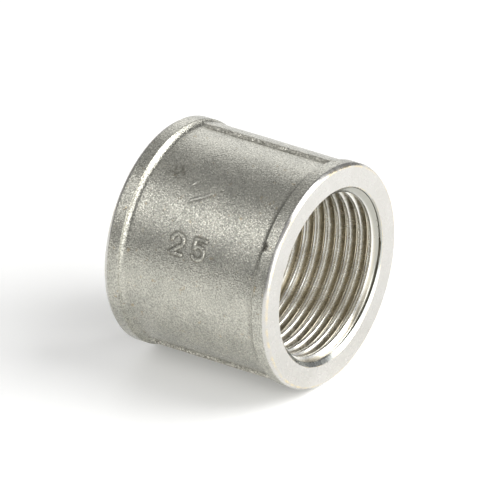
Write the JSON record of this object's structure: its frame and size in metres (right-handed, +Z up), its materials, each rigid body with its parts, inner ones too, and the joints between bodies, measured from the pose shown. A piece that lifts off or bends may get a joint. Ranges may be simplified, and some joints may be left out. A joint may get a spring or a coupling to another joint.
{
  "type": "pipe coupling",
  "caption": "Short round pipe coupling: a nickel-plated brass socket with a raised band round each mouth and a G 1 female thread right through.",
  "frame": {"origin": "centre of the socket, on the thread's axis, half way between the two end faces", "axes": "+X along the thread's axis, out of the first mouth; +Z up as the socket lies on its side; +Y makes it right-handed"},
  "size_m": [0.035, 0.042, 0.042],
  "materials": {
    "nickel_plated_brass": "satin, shot-blasted outside, machined at the faces and in the thread"
  },
  "bodies": {
    "root": {"socket_body": "nickel_plated_brass"}
  },
  "joints": []
}
